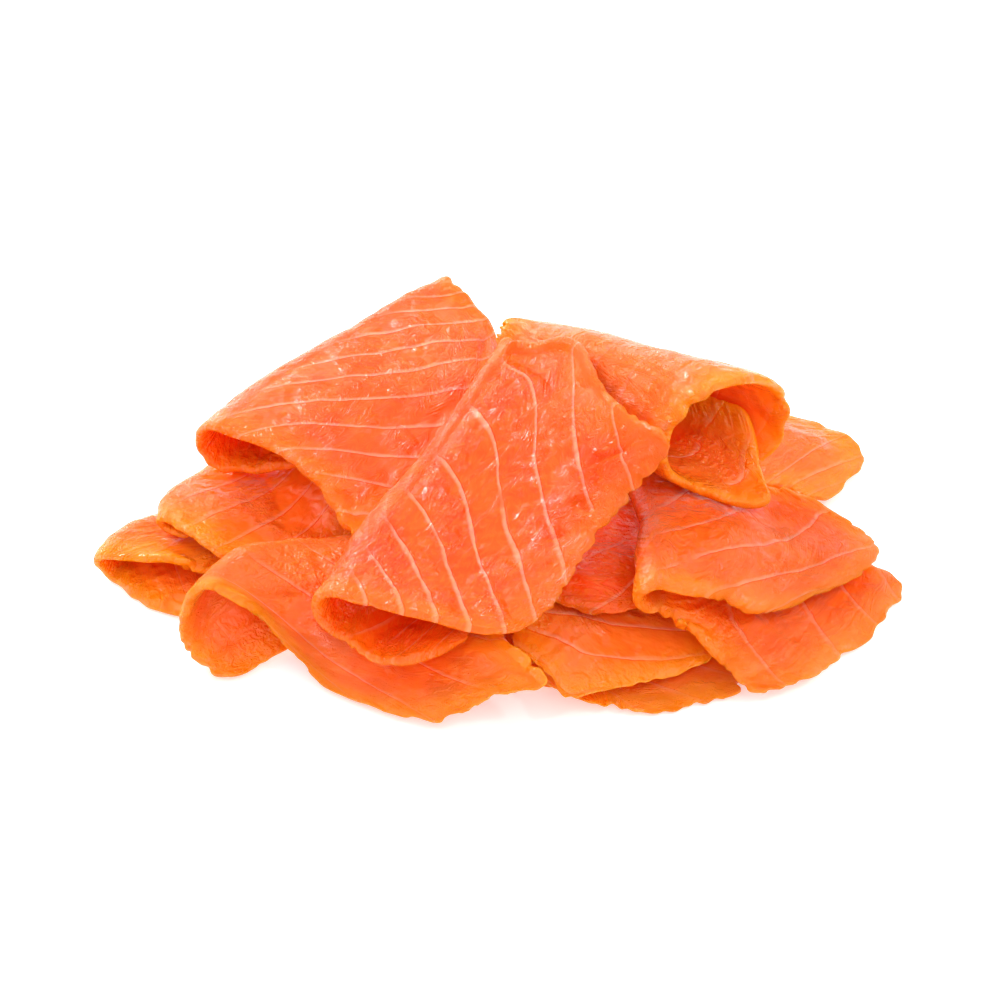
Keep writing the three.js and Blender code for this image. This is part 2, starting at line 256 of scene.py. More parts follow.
def raise_map(heights, points):
    """Raises each cell to the highest of the points in it."""
    x, y, z = points.reshape(-1, 3).T
    i = np.floor((x - MAP_X) / CELL + 0.5).astype(int)
    j = np.floor((y - MAP_Y) / CELL + 0.5).astype(int)
    inside = (i > 0) & (j > 0) & (i < COLUMNS - 1) & (j < ROWS - 1)
    np.maximum.at(heights, (i[inside], j[inside]), z[inside])


def around(heights):
    """The 3 by 3 neighbours of the inner cells, each with its distance in cells."""
    for a in range(3):
        for b in range(3):
            yield math.hypot(a - 1, b - 1), heights[a:COLUMNS - 2 + a, b:ROWS - 2 + b]


def resting_surface(heights):
    """The surface that the next layer lies on: it bridges the edges below and hangs off them."""
    surface = heights.copy()
    for _ in range(SPREAD_CELLS):
        surface[1:-1, 1:-1] = np.max([z for _, z in around(surface)], axis=0)
    for _ in range(HANG_CELLS):
        surface[1:-1, 1:-1] = np.max([z - far * HANG_SLOPE * CELL for far, z in around(surface)], axis=0)
    surface[1:-1, 1:-1] = np.mean([z for _, z in around(surface)], axis=0)
    return surface


# %% The height of a slice that lies on such a surface
def bed_weights(t):
    """Weights of four cells round a place, and their slopes, for a smooth surface through a map."""
    weights = (
        (1 - t) ** 3 / 6,
        (3 * t**3 - 6 * t**2 + 4) / 6,
        (-3 * t**3 + 3 * t**2 + 3 * t + 1) / 6,
        t**3 / 6,
    )
    slopes = (-((1 - t) ** 2) / 2, (9 * t**2 - 12 * t) / 6, (-9 * t**2 + 6 * t + 3) / 6, t**2 / 2)
    return weights, slopes


def lying_height(surface, plan):
    """Height of the middle of a slice over its places in plan."""
    gx = np.clip((plan[..., 0] - MAP_X) / CELL, RIM_CELLS, COLUMNS - 2 - RIM_CELLS)
    gy = np.clip((plan[..., 1] - MAP_Y) / CELL, RIM_CELLS, ROWS - 2 - RIM_CELLS)
    i, j = np.floor(gx).astype(int), np.floor(gy).astype(int)
    (wx, sx), (wy, sy) = bed_weights(gx - i), bed_weights(gy - j)
    z, zx, zy = 0, 0, 0
    for a in range(4):
        for b in range(4):
            height = surface[i + a - 1, j + b - 1]
            z = z + wx[a] * wy[b] * height
            zx = zx + sx[a] * wy[b] * height / CELL
            zy = zy + wx[a] * sy[b] * height / CELL
    return z + CLEARANCE + THICKNESS / 2 * np.sqrt(1 + zx**2 + zy**2)


print("height map in millimetres:", CELL * COLUMNS, "by", CELL * ROWS)

# %% [markdown]
# ## Laying a folded slice
#
# The lower layer lies on the heap, then the upper one lies on both, and the fold joins them in a half turn.
# Near the fold the upper layer springs up and comes down late, because the fold holds it. The result is a
# function: it gives the point on the middle of the slice at any `u` and `v`. Along `v` we go from the near
# end to the far end. Along `u`, -1 is the free edge of the lower layer, 0 and 1 are the two ends of the half
# turn, and 2 is the free edge of the upper layer.

# %% Values shared by all folded slices
SPRING = [1.6, 1.6]
FALL = 1.6
FOLD_SINK = 0.2
NEXT = 0.02
FOLD_END = 0.15
STIFF_ROUNDS = 24
TABLE = 12
LAYER_STEPS = 48


def sheet_normals(sheet):
    normals = np.cross(np.gradient(sheet, axis=0), np.gradient(sheet, axis=1))
    return normals / np.linalg.norm(normals, axis=-1, keepdims=True)


def stamp(heights, sheet):
    """Raises the map to both faces of a slice."""
    offset = sheet_normals(sheet) * THICKNESS / 2
    raise_map(heights, sheet + offset)
    raise_map(heights, sheet - offset)


def levelled(touching, start, rounds):
    """Levels a table of heights while it stays on or above what it touches."""
    table = start
    for _ in range(rounds):
        wide = np.pad(table, 1, mode="edge")
        beside = wide[:-2, 1:-1] + wide[2:, 1:-1] + wide[1:-1, :-2] + wide[1:-1, 2:]
        table = np.maximum(touching, (beside + 4 * table) / 8)
    return table


def with_height(plan, z):
    return np.concatenate([plan, z[..., None]], axis=-1)


# %% Where the two layers lie in plan
def layer_plans(cut):
    """Functions of q and v for the lower and the upper layer, and the way across the fold with its side."""
    fold, loop = cut["fold"], cut["loop"]
    near_way = direction(along(fold, FOLD_END), along(fold, 0))
    far_way = direction(along(fold, 1 - FOLD_END), along(fold, 1))

    def across(v):
        way = direction(along(fold, np.clip(v - NEXT, 0, 1)), along(fold, np.clip(v + NEXT, 0, 1)))
        return np.stack([-way[..., 1], way[..., 0]], axis=-1)

    side = np.sign(across(0.5) @ direction(along(fold, 0.5), along(cut["upper"], 0.5)))

    def root(v):
        return along(fold, v) + across(v) * (side * along(loop, v) / 2)[..., None]

    def in_plan(layer, q, v):
        start, end = root(v), along(cut[layer], v)
        near = along(cut.get("near_" + layer, [0, 0]), q) * (1 - v) ** 2
        far = along(cut.get("far_" + layer, [0, 0]), q) * v**2
        return start + (end - start) * q[..., None] + near[..., None] * near_way + far[..., None] * far_way

    def lower_plan(q, v):
        return in_plan("lower", q, v)

    def upper_plan(q, v):
        plan = in_plan("upper", q, v)
        if "tip" not in cut:
            return plan
        where, out, wide = cut["tip"]
        pull = q**3 * out * np.exp(-(((v - where) / wide) ** 2))
        return plan + pull[..., None] * direction(root(v), along(cut["upper"], v))

    return lower_plan, upper_plan, lambda v: side * across(v)


# %% The half turn of the fold
def half_turn(lower_point, upper_point, loop, inward):
    """A function of t and v that leads round the fold from the lower layer to the upper one."""

    def turn_point(t, v):
        angle = (t - 0.5) * np.pi
        start, end = lower_point(np.zeros_like(v), v), upper_point(np.zeros_like(v), v)
        rise = (end[..., 2] - start[..., 2]) / 2
        out = np.minimum(rise, along(loop, v) / 2) * np.cos(angle)
        share = (1 + np.sin(angle)) / 2
        plan = start[..., :2] + (end - start)[..., :2] * share[..., None] - inward(v) * out[..., None]
        return with_height(plan, start[..., 2] + 2 * rise * share)

    return turn_point


# %% Lay a folded slice on the heap
def lay_folded(cut, heights):
    rounds = cut.get("rounds", STIFF_ROUNDS)
    lower_plan, upper_plan, inward = layer_plans(cut)
    q, v = np.meshgrid(steps(TABLE), steps(TABLE), indexing="ij")
    loop = along(cut["loop"], steps(TABLE))

    # The lower layer lies on the heap, under the fold too.
    ground = resting_surface(heights)
    below_lower = np.maximum(along(cut.get("seat", [0, 0]), v), lying_height(ground, lower_plan(q, v)))
    under_fold = lying_height(ground, along(cut["fold"], steps(TABLE))) - FOLD_SINK * loop
    below_lower[0] = np.maximum(below_lower[0], under_fold)
    low = levelled(below_lower, below_lower, rounds)

    def lower_point(q, v):
        return with_height(lower_plan(q, v), over_table(low, q, v))

    # The upper layer lies on the heap and the lower layer, and comes down to them from the fold.
    lower_sheet = lower_point(*np.meshgrid(steps(LAYER_STEPS), steps(LAYER_STEPS), indexing="ij"))
    with_lower = heights.copy()
    stamp(with_lower, lower_sheet)
    raise_map(with_lower, lower_sheet)
    below_upper = lying_height(resting_surface(with_lower), upper_plan(q, v))
    top = np.maximum(below_upper[0], low[0] + loop - THICKNESS)
    stays = (1 - q ** along(cut.get("spring", SPRING), v)) ** FALL
    sprung = below_upper + (top - below_upper[0]) * stays
    below_upper[0] = top
    high = levelled(below_upper, sprung, rounds)
    high[0] = top

    def upper_point(q, v):
        return with_height(upper_plan(q, v), over_table(high, q, v))

    turn_point = half_turn(lower_point, upper_point, cut["loop"], inward)

    def point(u, v):
        lower, upper = lower_point(np.clip(-u, 0, 1), v), upper_point(np.clip(u - 1, 0, 1), v)
        on_layers = np.where((u <= 0)[..., None], lower, upper)
        turning = ((u > 0) & (u < 1))[..., None]
        return np.where(turning, turn_point(np.clip(u, 0, 1), v), on_layers)

    return point


# %% [markdown]
# ## The rolled slice
#
# One slice is rolled into a tube that widens towards its open mouth. It is a spiral: the radius shrinks by
# one layer with each turn. The mouth is cut slantwise, the back runs on past the front, and the bottom ends
# in a tongue.

# %% Lay the rolled slice
def lay_rolled(cut):
    start, end = np.radians(cut["winds"])
    way = direction(cut["axis"][0], cut["axis"][-1])
    front = np.array([way[1], -way[0]])
    tongue = cut["tongue"]

    def point(u, v):
        angle = start + (end - start) * (u + 1) / 3
        radius = along(cut["radius"], v) - (THICKNESS + CLEARANCE) * (angle - start) / (2 * np.pi)
        beside = (angle - math.radians(tongue["at"])) / math.radians(tongue["wide"])
        out = (tongue["out"] * np.exp(-(beside**2)) - cut["slant"] * np.sin(angle)) * v**2
        forward = radius * np.sin(angle)
        plan = along(cut["axis"], v) + forward[..., None] * front + out[..., None] * way
        return with_height(plan, along(cut["height"], v) + radius * np.cos(angle))

    return point


# %% [markdown]
# ## Laying the heap
#
# The slices are laid in their order. Each is stamped into the height map before the next one. The frame's
# solids were laid in the same way with a coarse grid, and moved so that the origin is in the middle of the
# underside. We build the same coarse grid to find that move, and compare the boxes to prove it.

# %% Grids along u for the stamp and for the coarse solids
def fold_steps(lower, turn, upper):
    return np.concatenate([-steps(lower)[::-1], steps(turn)[1:-1], 1 + steps(upper)])


STAMP_GRID = {"folded": (fold_steps(10, 8, 16), 18), "rolled": (3 * steps(36) - 1, 18)}
SOLID_GRID = {"folded": (fold_steps(5, 6, 9), 9), "rolled": (3 * steps(30) - 1, 8)}
STAMP_STEPS = 4
EDGE_THICKNESS = 1.2


def sheet_on(point, grid):
    u, count = grid
    return point(*np.meshgrid(u, steps(count), indexing="ij"))


def finer(sheet, times):
    """The same sheet with more, straight steps between its rows and columns."""
    for axis in (0, 1):
        count = sheet.shape[axis]
        place = np.linspace(0, count - 1, (count - 1) * times + 1)
        i = np.minimum(np.floor(place).astype(int), count - 2)
        share = (place - i).reshape([-1 if a == axis else 1 for a in range(3)])
        sheet = np.take(sheet, i, axis) * (1 - share) + np.take(sheet, i + 1, axis) * share
    return sheet


# %% Lay all slices
heights = np.zeros((COLUMNS, ROWS))
points_of, solids_of = {}, {}
for name, cut in SLICES.items():
    kind = "rolled" if "axis" in cut else "folded"
    points_of[name] = lay_rolled(cut) if kind == "rolled" else lay_folded(cut, heights)
    stamp(heights, finer(sheet_on(points_of[name], STAMP_GRID[kind]), STAMP_STEPS))
    sheet = sheet_on(points_of[name], SOLID_GRID[kind])
    half = np.full(sheet.shape[:2], EDGE_THICKNESS / 2)
    half[1:-1, 1:-1] = THICKNESS / 2
    offset = sheet_normals(sheet) * half[..., None]
    solids_of[name] = np.concatenate([sheet + offset, sheet - offset]).reshape(-1, 3)

corners = np.concatenate(list(solids_of.values()))
lowest, highest = corners.min(axis=0), corners.max(axis=0)
to_frame = -np.array([(lowest[0] + highest[0]) / 2, (lowest[1] + highest[1]) / 2, lowest[2]])
print("moved by, in millimetres:", to_frame.round(4))

# %% Compare with the boxes of the frame's solids
MM = 0.001
worst = 0
for name, corners in solids_of.items():
    ours = np.array([corners.min(axis=0), corners.max(axis=0)]) + to_frame
    worst = max(worst, np.abs(ours - np.array(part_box(name)) / MM).max())
print("largest difference between the boxes, in millimetres:", round(float(worst), 4))

# %% [markdown]
# ## Fine sheets with ragged cut edges
#
# A knife never cuts a limp side of salmon cleanly: the edges wander, with short teeth and thin tatters. The
# coarse grid can't show that, and cutting it with a boolean would leave long thin triangles. So each slice
# gets a new grid of its own, about 0.7 mm wide, with a few close rows at the rim so that the cut is round.

# %% Even places over a sheet, in millimetres
GRID = 0.7
RIM_ROWS = np.array([0, 0.15, 0.45, 0.9])


def places(length):
    """Places from 0 to 1 over a length, closer together at the rims."""
    inner = np.linspace(RIM_ROWS[-1], length - RIM_ROWS[-1], round(length / GRID))
    return np.concatenate([RIM_ROWS[:-1], inner, length - RIM_ROWS[-2::-1]]) / length


def running_lengths(sheet, axis):
    step = np.linalg.norm(np.diff(sheet, axis=axis), axis=-1)
    return np.insert(np.cumsum(step, axis=axis), 0, 0, axis=axis)


print("places over 100 mm:", len(places(100)))

# %% [markdown]
# ### The line of the cut
#
# Where the cut is exactly is a sum of random values along the rim: slow wandering, and teeth that are long
# in some stretches and hardly there in others. The corners are rounded off. The teeth are softened once, so
# that no tooth is sharper than the grid can show.

# %% How ragged the cut is, in millimetres
WANDER = {17: 1.6, 6: 0.6}
TEETH, TEETH_RUN = 2.2, 1.6
TATTERS_RUN = 14
CORNER_CUT, CORNER_RUN = 1.5, 5
EDGE_OUT = 1.3


def softened(values, times):
    """Values over a grid, each evened out with its neighbours."""
    for _ in range(times):
        for axis in (0, 1):
            last = values.shape[axis] - 1
            before = np.take(values, np.maximum(np.arange(last + 1) - 1, 0), axis)
            after = np.take(values, np.minimum(np.arange(last + 1) + 1, last), axis)
            values = values / 2 + (before + after) / 4
    return values


def random_along(rng, at, length, run):
    """A smooth random value of about 0 to 1 along a rim, with a new draw every `run` millimetres."""
    return along(rng.random(int(length / run) + 3), at)


def ragged(rng, at, length):
    """How far the cut stands back from the given edge."""
    wander = sum(far * random_along(rng, at, length, run) for run, far in WANDER.items())
    teeth = random_along(rng, at, length, TEETH_RUN)
    tatters = random_along(rng, at, length, TATTERS_RUN)
    corners = sum(np.clip(1 - x * length / CORNER_RUN, 0, 1) ** 2 for x in (at, 1 - at))
    back = wander + TEETH * tatters * teeth**2 + CORNER_CUT * corners - EDGE_OUT
    return softened(back[:, None], 1)[:, 0]


sample = ragged(np.random.default_rng(0), places(60), 60)
print("the cut stands back by", sample.min().round(1), "to", sample.max().round(1), "mm")

# %% [markdown]
# ### Past the given edges
#
# The given edges say where the cut is on the whole, so here and there it stands out past them. The points of
# a slice are only known between its edges. Past them it simply goes on in a straight line.

# %% Points past the edges of a slice
STEP_U, STEP_V = 0.02, 0.01


def beyond(point, u, v):
    """Points on a slice, and in a straight line beyond its given edges."""
    inner_u, inner_v = np.clip(u, -1, 2), np.clip(v, 0, 1)
    at_edge = point(inner_u, inner_v)
    inside_u = point(inner_u - STEP_U * np.sign(u - inner_u), inner_v)
    inside_v = point(inner_u, inner_v - STEP_V * np.sign(v - inner_v))
    past_u = (at_edge - inside_u) * (np.abs(u - inner_u) / STEP_U)[..., None]
    past_v = (at_edge - inside_v) * (np.abs(v - inner_v) / STEP_V)[..., None]
    return at_edge + past_u + past_v


# %% [markdown]
# ### One fine sheet
#
# Steps that are even in `u` and `v` would be wide in one place and narrow in another. We measure the slice
# along both ways first and then walk over it in even steps, from one ragged edge to the other. The result is
# the middle sheet of the slice, and for each of its points where it lies on the slice.
#
# A few slices reach further under their neighbours, or else the table would show through a gap between
# them. The inner corner of the roll is trimmed, as it would stick out of the mouth.

# %% The fine sheet of a slice
# How far the near and far ends and the upper edge run out more, and how far the inner corner is trimmed,
# in millimetres.
REACH = {
    "slice_left": dict(ends=(0, 4), edge=3),
    "slice_front_left": dict(ends=(0, 3)),
    "slice_rolled": dict(ends=(3, 0), trim=8),
    "slice_top": dict(ends=(0, 2)),
}
TRIM_FROM = 0.78
MEASURED_U, MEASURED_V = 360, 160
# Places u and v, the ways s across and t along the slice, and the distances from edges and ends, in mm.
At = namedtuple("At", "u v s t from_edge from_end")


def fine_sheet(point, rng, ends=(0, 0), edge=0, trim=0):
    """Points on the middle of a slice, and where each of them lies on it."""
    u, v = 3 * steps(MEASURED_U) - 1, steps(MEASURED_V)
    even = point(*np.meshgrid(u, v, indexing="ij"))
    across, lengthwise = running_lengths(even, 0), running_lengths(even, 1)
    mean_across, mean_length = across[-1].mean(), lengthwise[:, -1].mean()
    r, c = places(mean_across), places(mean_length)

    # Even steps across, between the two ragged free edges.
    cuts = [ragged(rng, c, mean_length) - out for out in (0, edge)]
    left = np.interp(c, v, across[-1]) - cuts[0] - cuts[1]
    s = cuts[0] + left * r[:, None]
    u_at = np.empty_like(s)
    for k, place in enumerate(c * (len(v) - 1)):
        i = min(int(place), len(v) - 2)
        column = across[:, i] + (across[:, i + 1] - across[:, i]) * (place - i)
        outside = np.clip(s[:, k] - column[-1], 0, None) + np.clip(s[:, k], None, 0)
        u_at[:, k] = np.interp(s[:, k], column, u) + outside * 3 / column[-1]

    # Even steps along, between the two ragged ends.
    long = np.interp(u_at.mean(axis=1), u, lengthwise[:, -1])[:, None]
    cuts = [ragged(rng, r, mean_across)[:, None] - out for out in ends]
    cuts[1] = cuts[1] + trim * np.clip((r[:, None] - TRIM_FROM) / (1 - TRIM_FROM), 0, 1) ** 2
    short = long - cuts[0] - cuts[1]
    v_at = (cuts[0] + short * c) / long

    from_edge, from_end = left * np.minimum(r, 1 - r)[:, None], short * np.minimum(c, 1 - c)
    return beyond(point, u_at, v_at), At(u_at, v_at, s, v_at * long, from_edge, from_end)


# %% [markdown]
# ## Soft waves
#
# Limp layers sag and swell together, over what lies below them. A wave of its own in each slice would push
# it through its neighbours. So the waves belong to the whole heap: they depend on the place in plan alone,
# and fade out towards the table.

# %% Waves that all slices share, their heights for each length in millimetres
WAVES = {26: 0.6, 11: 0.22, 6: 0.1}
WAVE_DRAWS = 24
WAVE_RISE = 12
UPWARDS = np.array([0, 0, 1])
wave_rng = np.random.default_rng(5)
wave_tables = {size: wave_rng.normal(size=(WAVE_DRAWS, WAVE_DRAWS)) for size in WAVES}


def waves(sheet):
    """How far the whole heap waves up and down at a place in plan, less where it lies on the table."""
    x, y, z = np.moveaxis(sheet, -1, 0)
    total = 0
    for size, height in WAVES.items():
        whole = WAVE_DRAWS - 1
        across, along_y = (x - MAP_X) / size / whole % 1, (y - MAP_Y) / size / whole % 1
        total = total + height * over_table(wave_tables[size], across, along_y)
    return total * np.clip(z / WAVE_RISE, 0, 1)


def rough(rng, at, sizes):
    """Soft random ups and downs of one sheet alone: a height for each size of wave."""
    total = 0
    for size, height in sizes.items():
        rows, columns = int(at.s.max() / size) + 3, int(at.t.max() / size) + 3
        table = rng.normal(size=(rows, columns))
        total = total + height * over_table(table, at.s / size / (rows - 1), at.t / size / (columns - 1))
    return total


print("wave lengths in millimetres:", list(WAVES))

# %% [markdown]
# ## Valleys, tears and lifted edges
#
# Here and there a slice has a shallow valley where it was pinched, a small tear where the flesh parts
# between two layers of muscle, or an edge that lifts. A sculptor would press these in with a brush. Each is a
# soft stroke here, from one place on the slice to another, with its width in millimetres and its strength.
# A valley moves the whole sheet. A tear only thins its outer face, so that no hole opens. An edge lifts only
# where nothing lies on it.

# %% Soft strokes on a slice: from u, v to u, v, width and depth in millimetres, or strength from 0 to 1
VALLEYS = {
    "slice_top": [((1.02, 1), (1.32, 0.88), 3.5, 1.6), ((1.32, 0.88), (1.6, 0.8), 3, 0.8)],
    "slice_back_left": [((1.8, 0.95), (1.84, 0.7), 2.5, 0.8)],
    "slice_right": [((-0.45, 0.3), (-0.95, 0.25), 2.5, 0.8), ((1.1, 0.12), (1.75, 0.35), 4, 1)],
    "slice_rolled": [((0.1, 0.42), (0.3, 0.5), 2, 0.8), ((0, 0.3), (0.25, 0.36), 2, 0.7)],
}
TEARS = {
    "slice_top": [
        ((1.73, 0.84), (1.81, 0.92), 1, 0.8),
        ((1.8, 0.8), (1.72, 0.85), 0.9, 0.7),
        ((1.77, 0.7), (1.86, 0.68), 1, 0.8),
        ((1.78, 0.56), (1.81, 0.57), 0.9, 0.7),
        ((1.84, 0.47), (1.88, 0.4), 1, 0.6),
    ],
    "slice_front_left": [((1.21, 0.43), (1.215, 0.435), 1, 0.7)],
    "slice_back_left": [((1.76, 0.06), (1.9, 0.05), 1, 0.6)],
}


def marks(strokes, at):
    """Soft strokes on a sheet, as a value from 0 to the strongest of them."""
    total = np.zeros_like(at.u)
    for start, end, wide, strength in strokes:
        ends = []
        for place in (start, end):
            k = np.argmin((at.u - place[0]) ** 2 + (at.v - place[1]) ** 2)
            ends.append(np.array([at.s.flat[k], at.t.flat[k]]))
        way = ends[1] - ends[0]
        from_start = np.stack([at.s, at.t], axis=-1) - ends[0]
        share = np.clip(from_start @ way / max(way @ way, 1e-9), 0, 1)
        away = np.linalg.norm(from_start - share[..., None] * way, axis=-1)
        total = np.maximum(total, strength * np.exp(-((away / wide) ** 2)))
    return total


# %% Shape a sheet, with all lifts and distances in millimetres
LIFT = {13: 0.9, 6: 0.45}
LIFT_RUN = 14
LIFT_LIMITS = -0.2, 2
COVER_NEAR, COVER_FADE = 4, 2


def bare(sheet):
    """1 where nothing lies on a sheet, down to 0 where something does."""
    i = np.clip(((sheet[..., 0] - MAP_X) / CELL).round().astype(int), 0, COLUMNS - 1)
    j = np.clip(((sheet[..., 1] - MAP_Y) / CELL).round().astype(int), 0, ROWS - 1)
    return np.clip((sheet[..., 2] + COVER_NEAR - heights[i, j]) / COVER_FADE, 0, 1)


def shape_sheet(name, sheet, at, rng):
    """The sheet with its waves, valleys and lifted edges, and the side of its outer face as 1 or -1."""
    sheet = sheet + waves(sheet)[..., None] * UPWARDS
    normals = sheet_normals(sheet)
    outer = np.sign(normals[at.u > 1][:, 2].mean())
    sheet = sheet - outer * normals * marks(VALLEYS.get(name, ()), at)[..., None]
    if "fold" in SLICES[name]:
        near_edge = np.clip(1 - np.minimum(at.from_edge, 2 * at.from_end) / LIFT_RUN, 0, 1) ** 2
        lift = near_edge * bare(sheet) * np.clip(rough(rng, at, LIFT), *LIFT_LIMITS)
        sheet = sheet + lift[..., None] * UPWARDS
    return sheet, outer


# %% [markdown]
# ## Two faces round each sheet
#
# A slice is full in the middle and runs out thin towards the cut, which is rounded. A solidify modifier
# gives one thickness everywhere, so we place both faces ourselves, off the middle sheet along its normals.
# The normals are softened first: at the teeth of the cut they turn so fast that the faces would cross, and
# light that is caught between crossed faces comes out green. Last, what would sink into the table is lifted.

# %% The two faces, in millimetres
RIM_HALF = 0.08
EDGE_ROUND, EDGE_RUN = 0.3, 12
END_ROUND, END_RUN = 0.8, 3
RELIEF = {4: 0.1, 1.8: 0.05}
NORMAL_ROUNDS = 8
TABLE_GAP = 0.02


def half_thickness(distance, round_off, run):
    """Half the thickness at a distance from a rim: rounded at the cut, then up to the full one."""
    rounded = round_off * np.sqrt(1 - (1 - np.clip(distance / round_off, 0, 1)) ** 2)
    rising = (THICKNESS / 2 - round_off) * (1 - (1 - np.clip(distance / run, 0, 1)) ** 2)
    return np.maximum(RIM_HALF, rounded) + rising


def two_faces(name, sheet, outer, at, rng):
    """The points of both faces, in metres in the frame."""
    normals = softened(sheet_normals(sheet), NORMAL_ROUNDS)
    normals = normals / np.linalg.norm(normals, axis=-1)[..., None]
    at_edge = half_thickness(at.from_edge, EDGE_ROUND, EDGE_RUN)
    half = np.minimum(at_edge, half_thickness(at.from_end, END_ROUND, END_RUN))
    inside = np.clip(np.minimum(at.from_edge, at.from_end), 0, 1)
    faces = []
    for side in (1, -1):
        out = side * half * (1 + inside * rough(rng, at, RELIEF))
        if side == outer:
            out = out * (1 - marks(TEARS.get(name, ()), at))
        faces.append(sheet + normals * out[..., None] + to_frame)
    sunk = np.maximum(TABLE_GAP - np.minimum(faces[0][..., 2], faces[1][..., 2]), 0)
    return [(face + sunk[..., None] * UPWARDS) * MM for face in faces]


# %% [markdown]
# ### A closed mesh
#
# Light can only be followed through flesh that is closed all round. The two faces are grids of the same
# size, so joining them takes one strip of quads along their rims. The grain goes into a UV map, and the
# other values that the material needs go into the points by name.

# %% Faces all round a sheet
def faces_round(points, rows, columns):
    """Quads over the upper and the lower grid of points, and over the rim between them, facing out."""
    count = rows * columns
    index = np.arange(count).reshape(rows, columns)
    corners = [index[:-1, :-1], index[1:, :-1], index[1:, 1:], index[:-1, 1:]]
    face = np.stack(corners, axis=-1).reshape(-1, 4)
    rim = np.concatenate([index[:-1, 0], index[-1, :-1], index[:0:-1, -1], index[0, :0:-1]])
    after = np.roll(rim, -1)
    wall = np.stack([after, rim, rim + count, after + count], axis=-1)
    faces = np.concatenate([face, face[:, ::-1] + count, wall])
    p, q, r, s = (points[faces[:, k]] for k in range(4))
    volume = np.sum(p * np.cross(q, r) + p * np.cross(r, s))
    return faces if volume > 0 else faces[:, ::-1]


# %% A closed mesh of a sheet
def closed_mesh(name, upper, lower, grain, values):
    """A thin closed mesh of two faces, with the grain as its UV map and named values at its points."""
    points = np.concatenate([upper.reshape(-1, 3), lower.reshape(-1, 3)])
    faces = faces_round(points, *grain.shape[:2])
    mesh = bpy.data.meshes.new(name)
    mesh.from_pydata(points, [], faces)
    mesh.polygons.foreach_set("use_smooth", np.ones(len(faces), bool))
    grain_map = mesh.uv_layers.new(name="grain")
    at_points = np.concatenate([grain.reshape(-1, 2)] * 2)
    grain_map.data.foreach_set("uv", at_points[faces].reshape(-1).astype(np.float32))
    for label, value in values.items():
        attribute = mesh.attributes.new(label, "FLOAT", "POINT")
        attribute.data.foreach_set("value", np.tile(value.reshape(-1), 2).astype(np.float32))
    mesh.update()
    piece = bpy.data.objects.new(name, mesh)
    bpy.context.scene.collection.objects.link(piece)
    return piece


# %% [markdown]
# ## Shader groups
#
# The look of the flesh comes from three things that every slice shares: pale fat lines in rows with fine
# fibres between them, the orange of the flesh, and a wet skin with small crinkles. Painting them would take
# a picture for each slice. Noise does it in any size instead. Each is a node group with values of its own in
# each slice's material. They are driven by the grain map: its first value counts the fat lines, so a whole
# number is the middle of a line, and its second is the way along the lines in millimetres.

# %% Helpers for node trees
def add(tree, kind, inputs=None, **settings):
    """Adds a node, with its inputs as values or as links from other nodes."""
    node = tree.nodes.new("ShaderNode" + kind)
    for key, value in settings.items():
        setattr(node, key, value)
    for key, value in (inputs or {}).items():
        if isinstance(value, bpy.types.NodeSocket):
            tree.links.new(value, node.inputs[key])
        else:
            node.inputs[key].default_value = value
    return node


def calc(tree, operation, *values):
    return add(tree, "Math", dict(enumerate(values)), operation=operation).outputs[0]


def ramp(tree, value, low, high, to_low=0.0, to_high=1.0):
    """A smooth step of a value from one range to another."""
    inputs = {"Value": value, "From Min": low, "From Max": high, "To Min": to_low, "To Max": to_high}
    return add(tree, "MapRange", inputs, interpolation_type="SMOOTHSTEP").outputs["Result"]


def noise(tree, at, scale, detail=2.0, roughness=0.5):
    inputs = {"Vector": at, "Scale": scale, "Detail": detail, "Roughness": roughness}
    return add(tree, "TexNoise", inputs).outputs["Fac"]


def mix(tree, share, one, other):
    """One colour turned into another by a share."""
    return add(tree, "Mix", {0: share, 6: one, 7: other}, data_type="RGBA").outputs[2]


# %% Helpers for shader groups
def new_group(name, inputs, outputs):
    """An empty shader group with named sockets, and its input sockets by name."""
    tree = bpy.data.node_groups.new(name, "ShaderNodeTree")
    for label, kind, value in inputs:
        socket = tree.interface.new_socket(label, in_out="INPUT", socket_type="NodeSocket" + kind)
        socket.default_value = value
    for label, kind in outputs:
        tree.interface.new_socket(label, in_out="OUTPUT", socket_type="NodeSocket" + kind)
    entry = tree.nodes.new("NodeGroupInput")
    return tree, {socket.name: socket for socket in entry.outputs if socket.name}


def give(tree, outputs):
    """Links values to the outputs of a group."""
    leaving = tree.nodes.new("NodeGroupOutput")
    for label, value in outputs.items():
        tree.links.new(value, leaving.inputs[label])
    print("group:", tree.name)


# %% [markdown]
# ### Fat lines
#
# In a slice the fat between the muscle layers shows as pale curved lines. They aren't ruled: they wander,
# swell and fade, and some stop short. One side of a line melts softly into the flesh. The other is sharper,
# with a fine groove where the next layer starts. A wave texture makes stripes too, but all of one kind. Here
# we round the count to the nearest line, so that each line gets noise of its own.

# %% Where the nearest fat line is
# How far the lines swing, in counts, and the scales of each swing across and along them.
WANDER_BY, WANDER_SCALES, WANDER_FINE = 0.3, (1.0, 0.04), 0.9
JITTER_BY, JITTER_SCALES = 0.04, (3.0, 0.35)

fat_lines, given = new_group(
    "Fat lines",
    [
        ("Count", "Float", 0),
        ("Way", "Float", 0),
        ("Spacing", "Float", 9),
        ("Width", "Float", 1),
        ("Seed", "Float", 0),
        ("Strength", "Float", 1),
    ],
    [("Line", "Float"), ("Groove", "Float"), ("Fibre", "Float"), ("Crease", "Float")],
)


